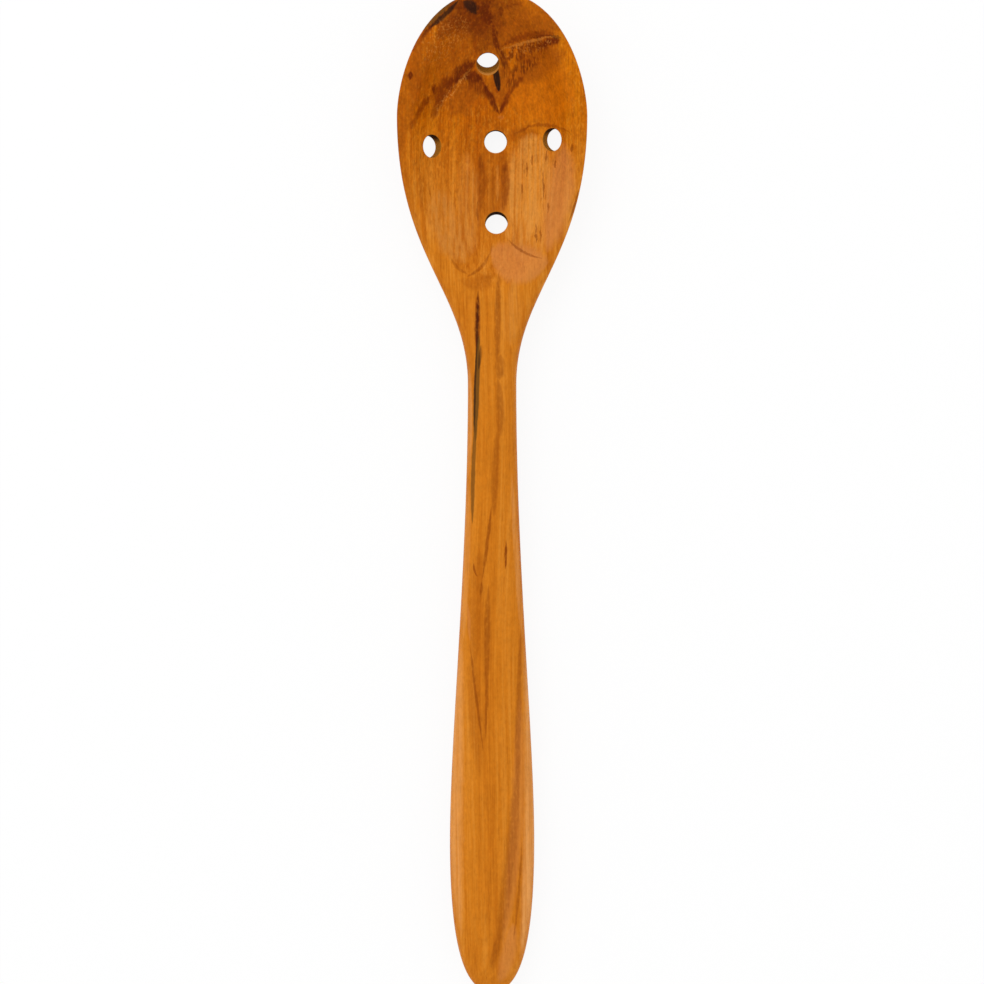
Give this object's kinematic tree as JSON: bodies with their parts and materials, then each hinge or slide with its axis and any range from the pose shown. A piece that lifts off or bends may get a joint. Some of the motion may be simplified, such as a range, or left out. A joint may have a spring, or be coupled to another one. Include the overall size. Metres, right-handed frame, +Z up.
{
  "type": "olive spoon",
  "caption": "Long wooden serving spoon with a deep oval bowl drilled through for draining, a slim neck and a handle that widens to a rounded end.",
  "frame": {"origin": "Centre of the spoon's box on the table it lies on", "axes": "+Y from handle to bowl along the length, +Z up out of the hollow, X across"},
  "size_m": [0.038, 0.2, 0.0143],
  "materials": {
    "teak": "oiled, satin"
  },
  "bodies": {
    "root": {"spoon": "teak"}
  },
  "joints": []
}
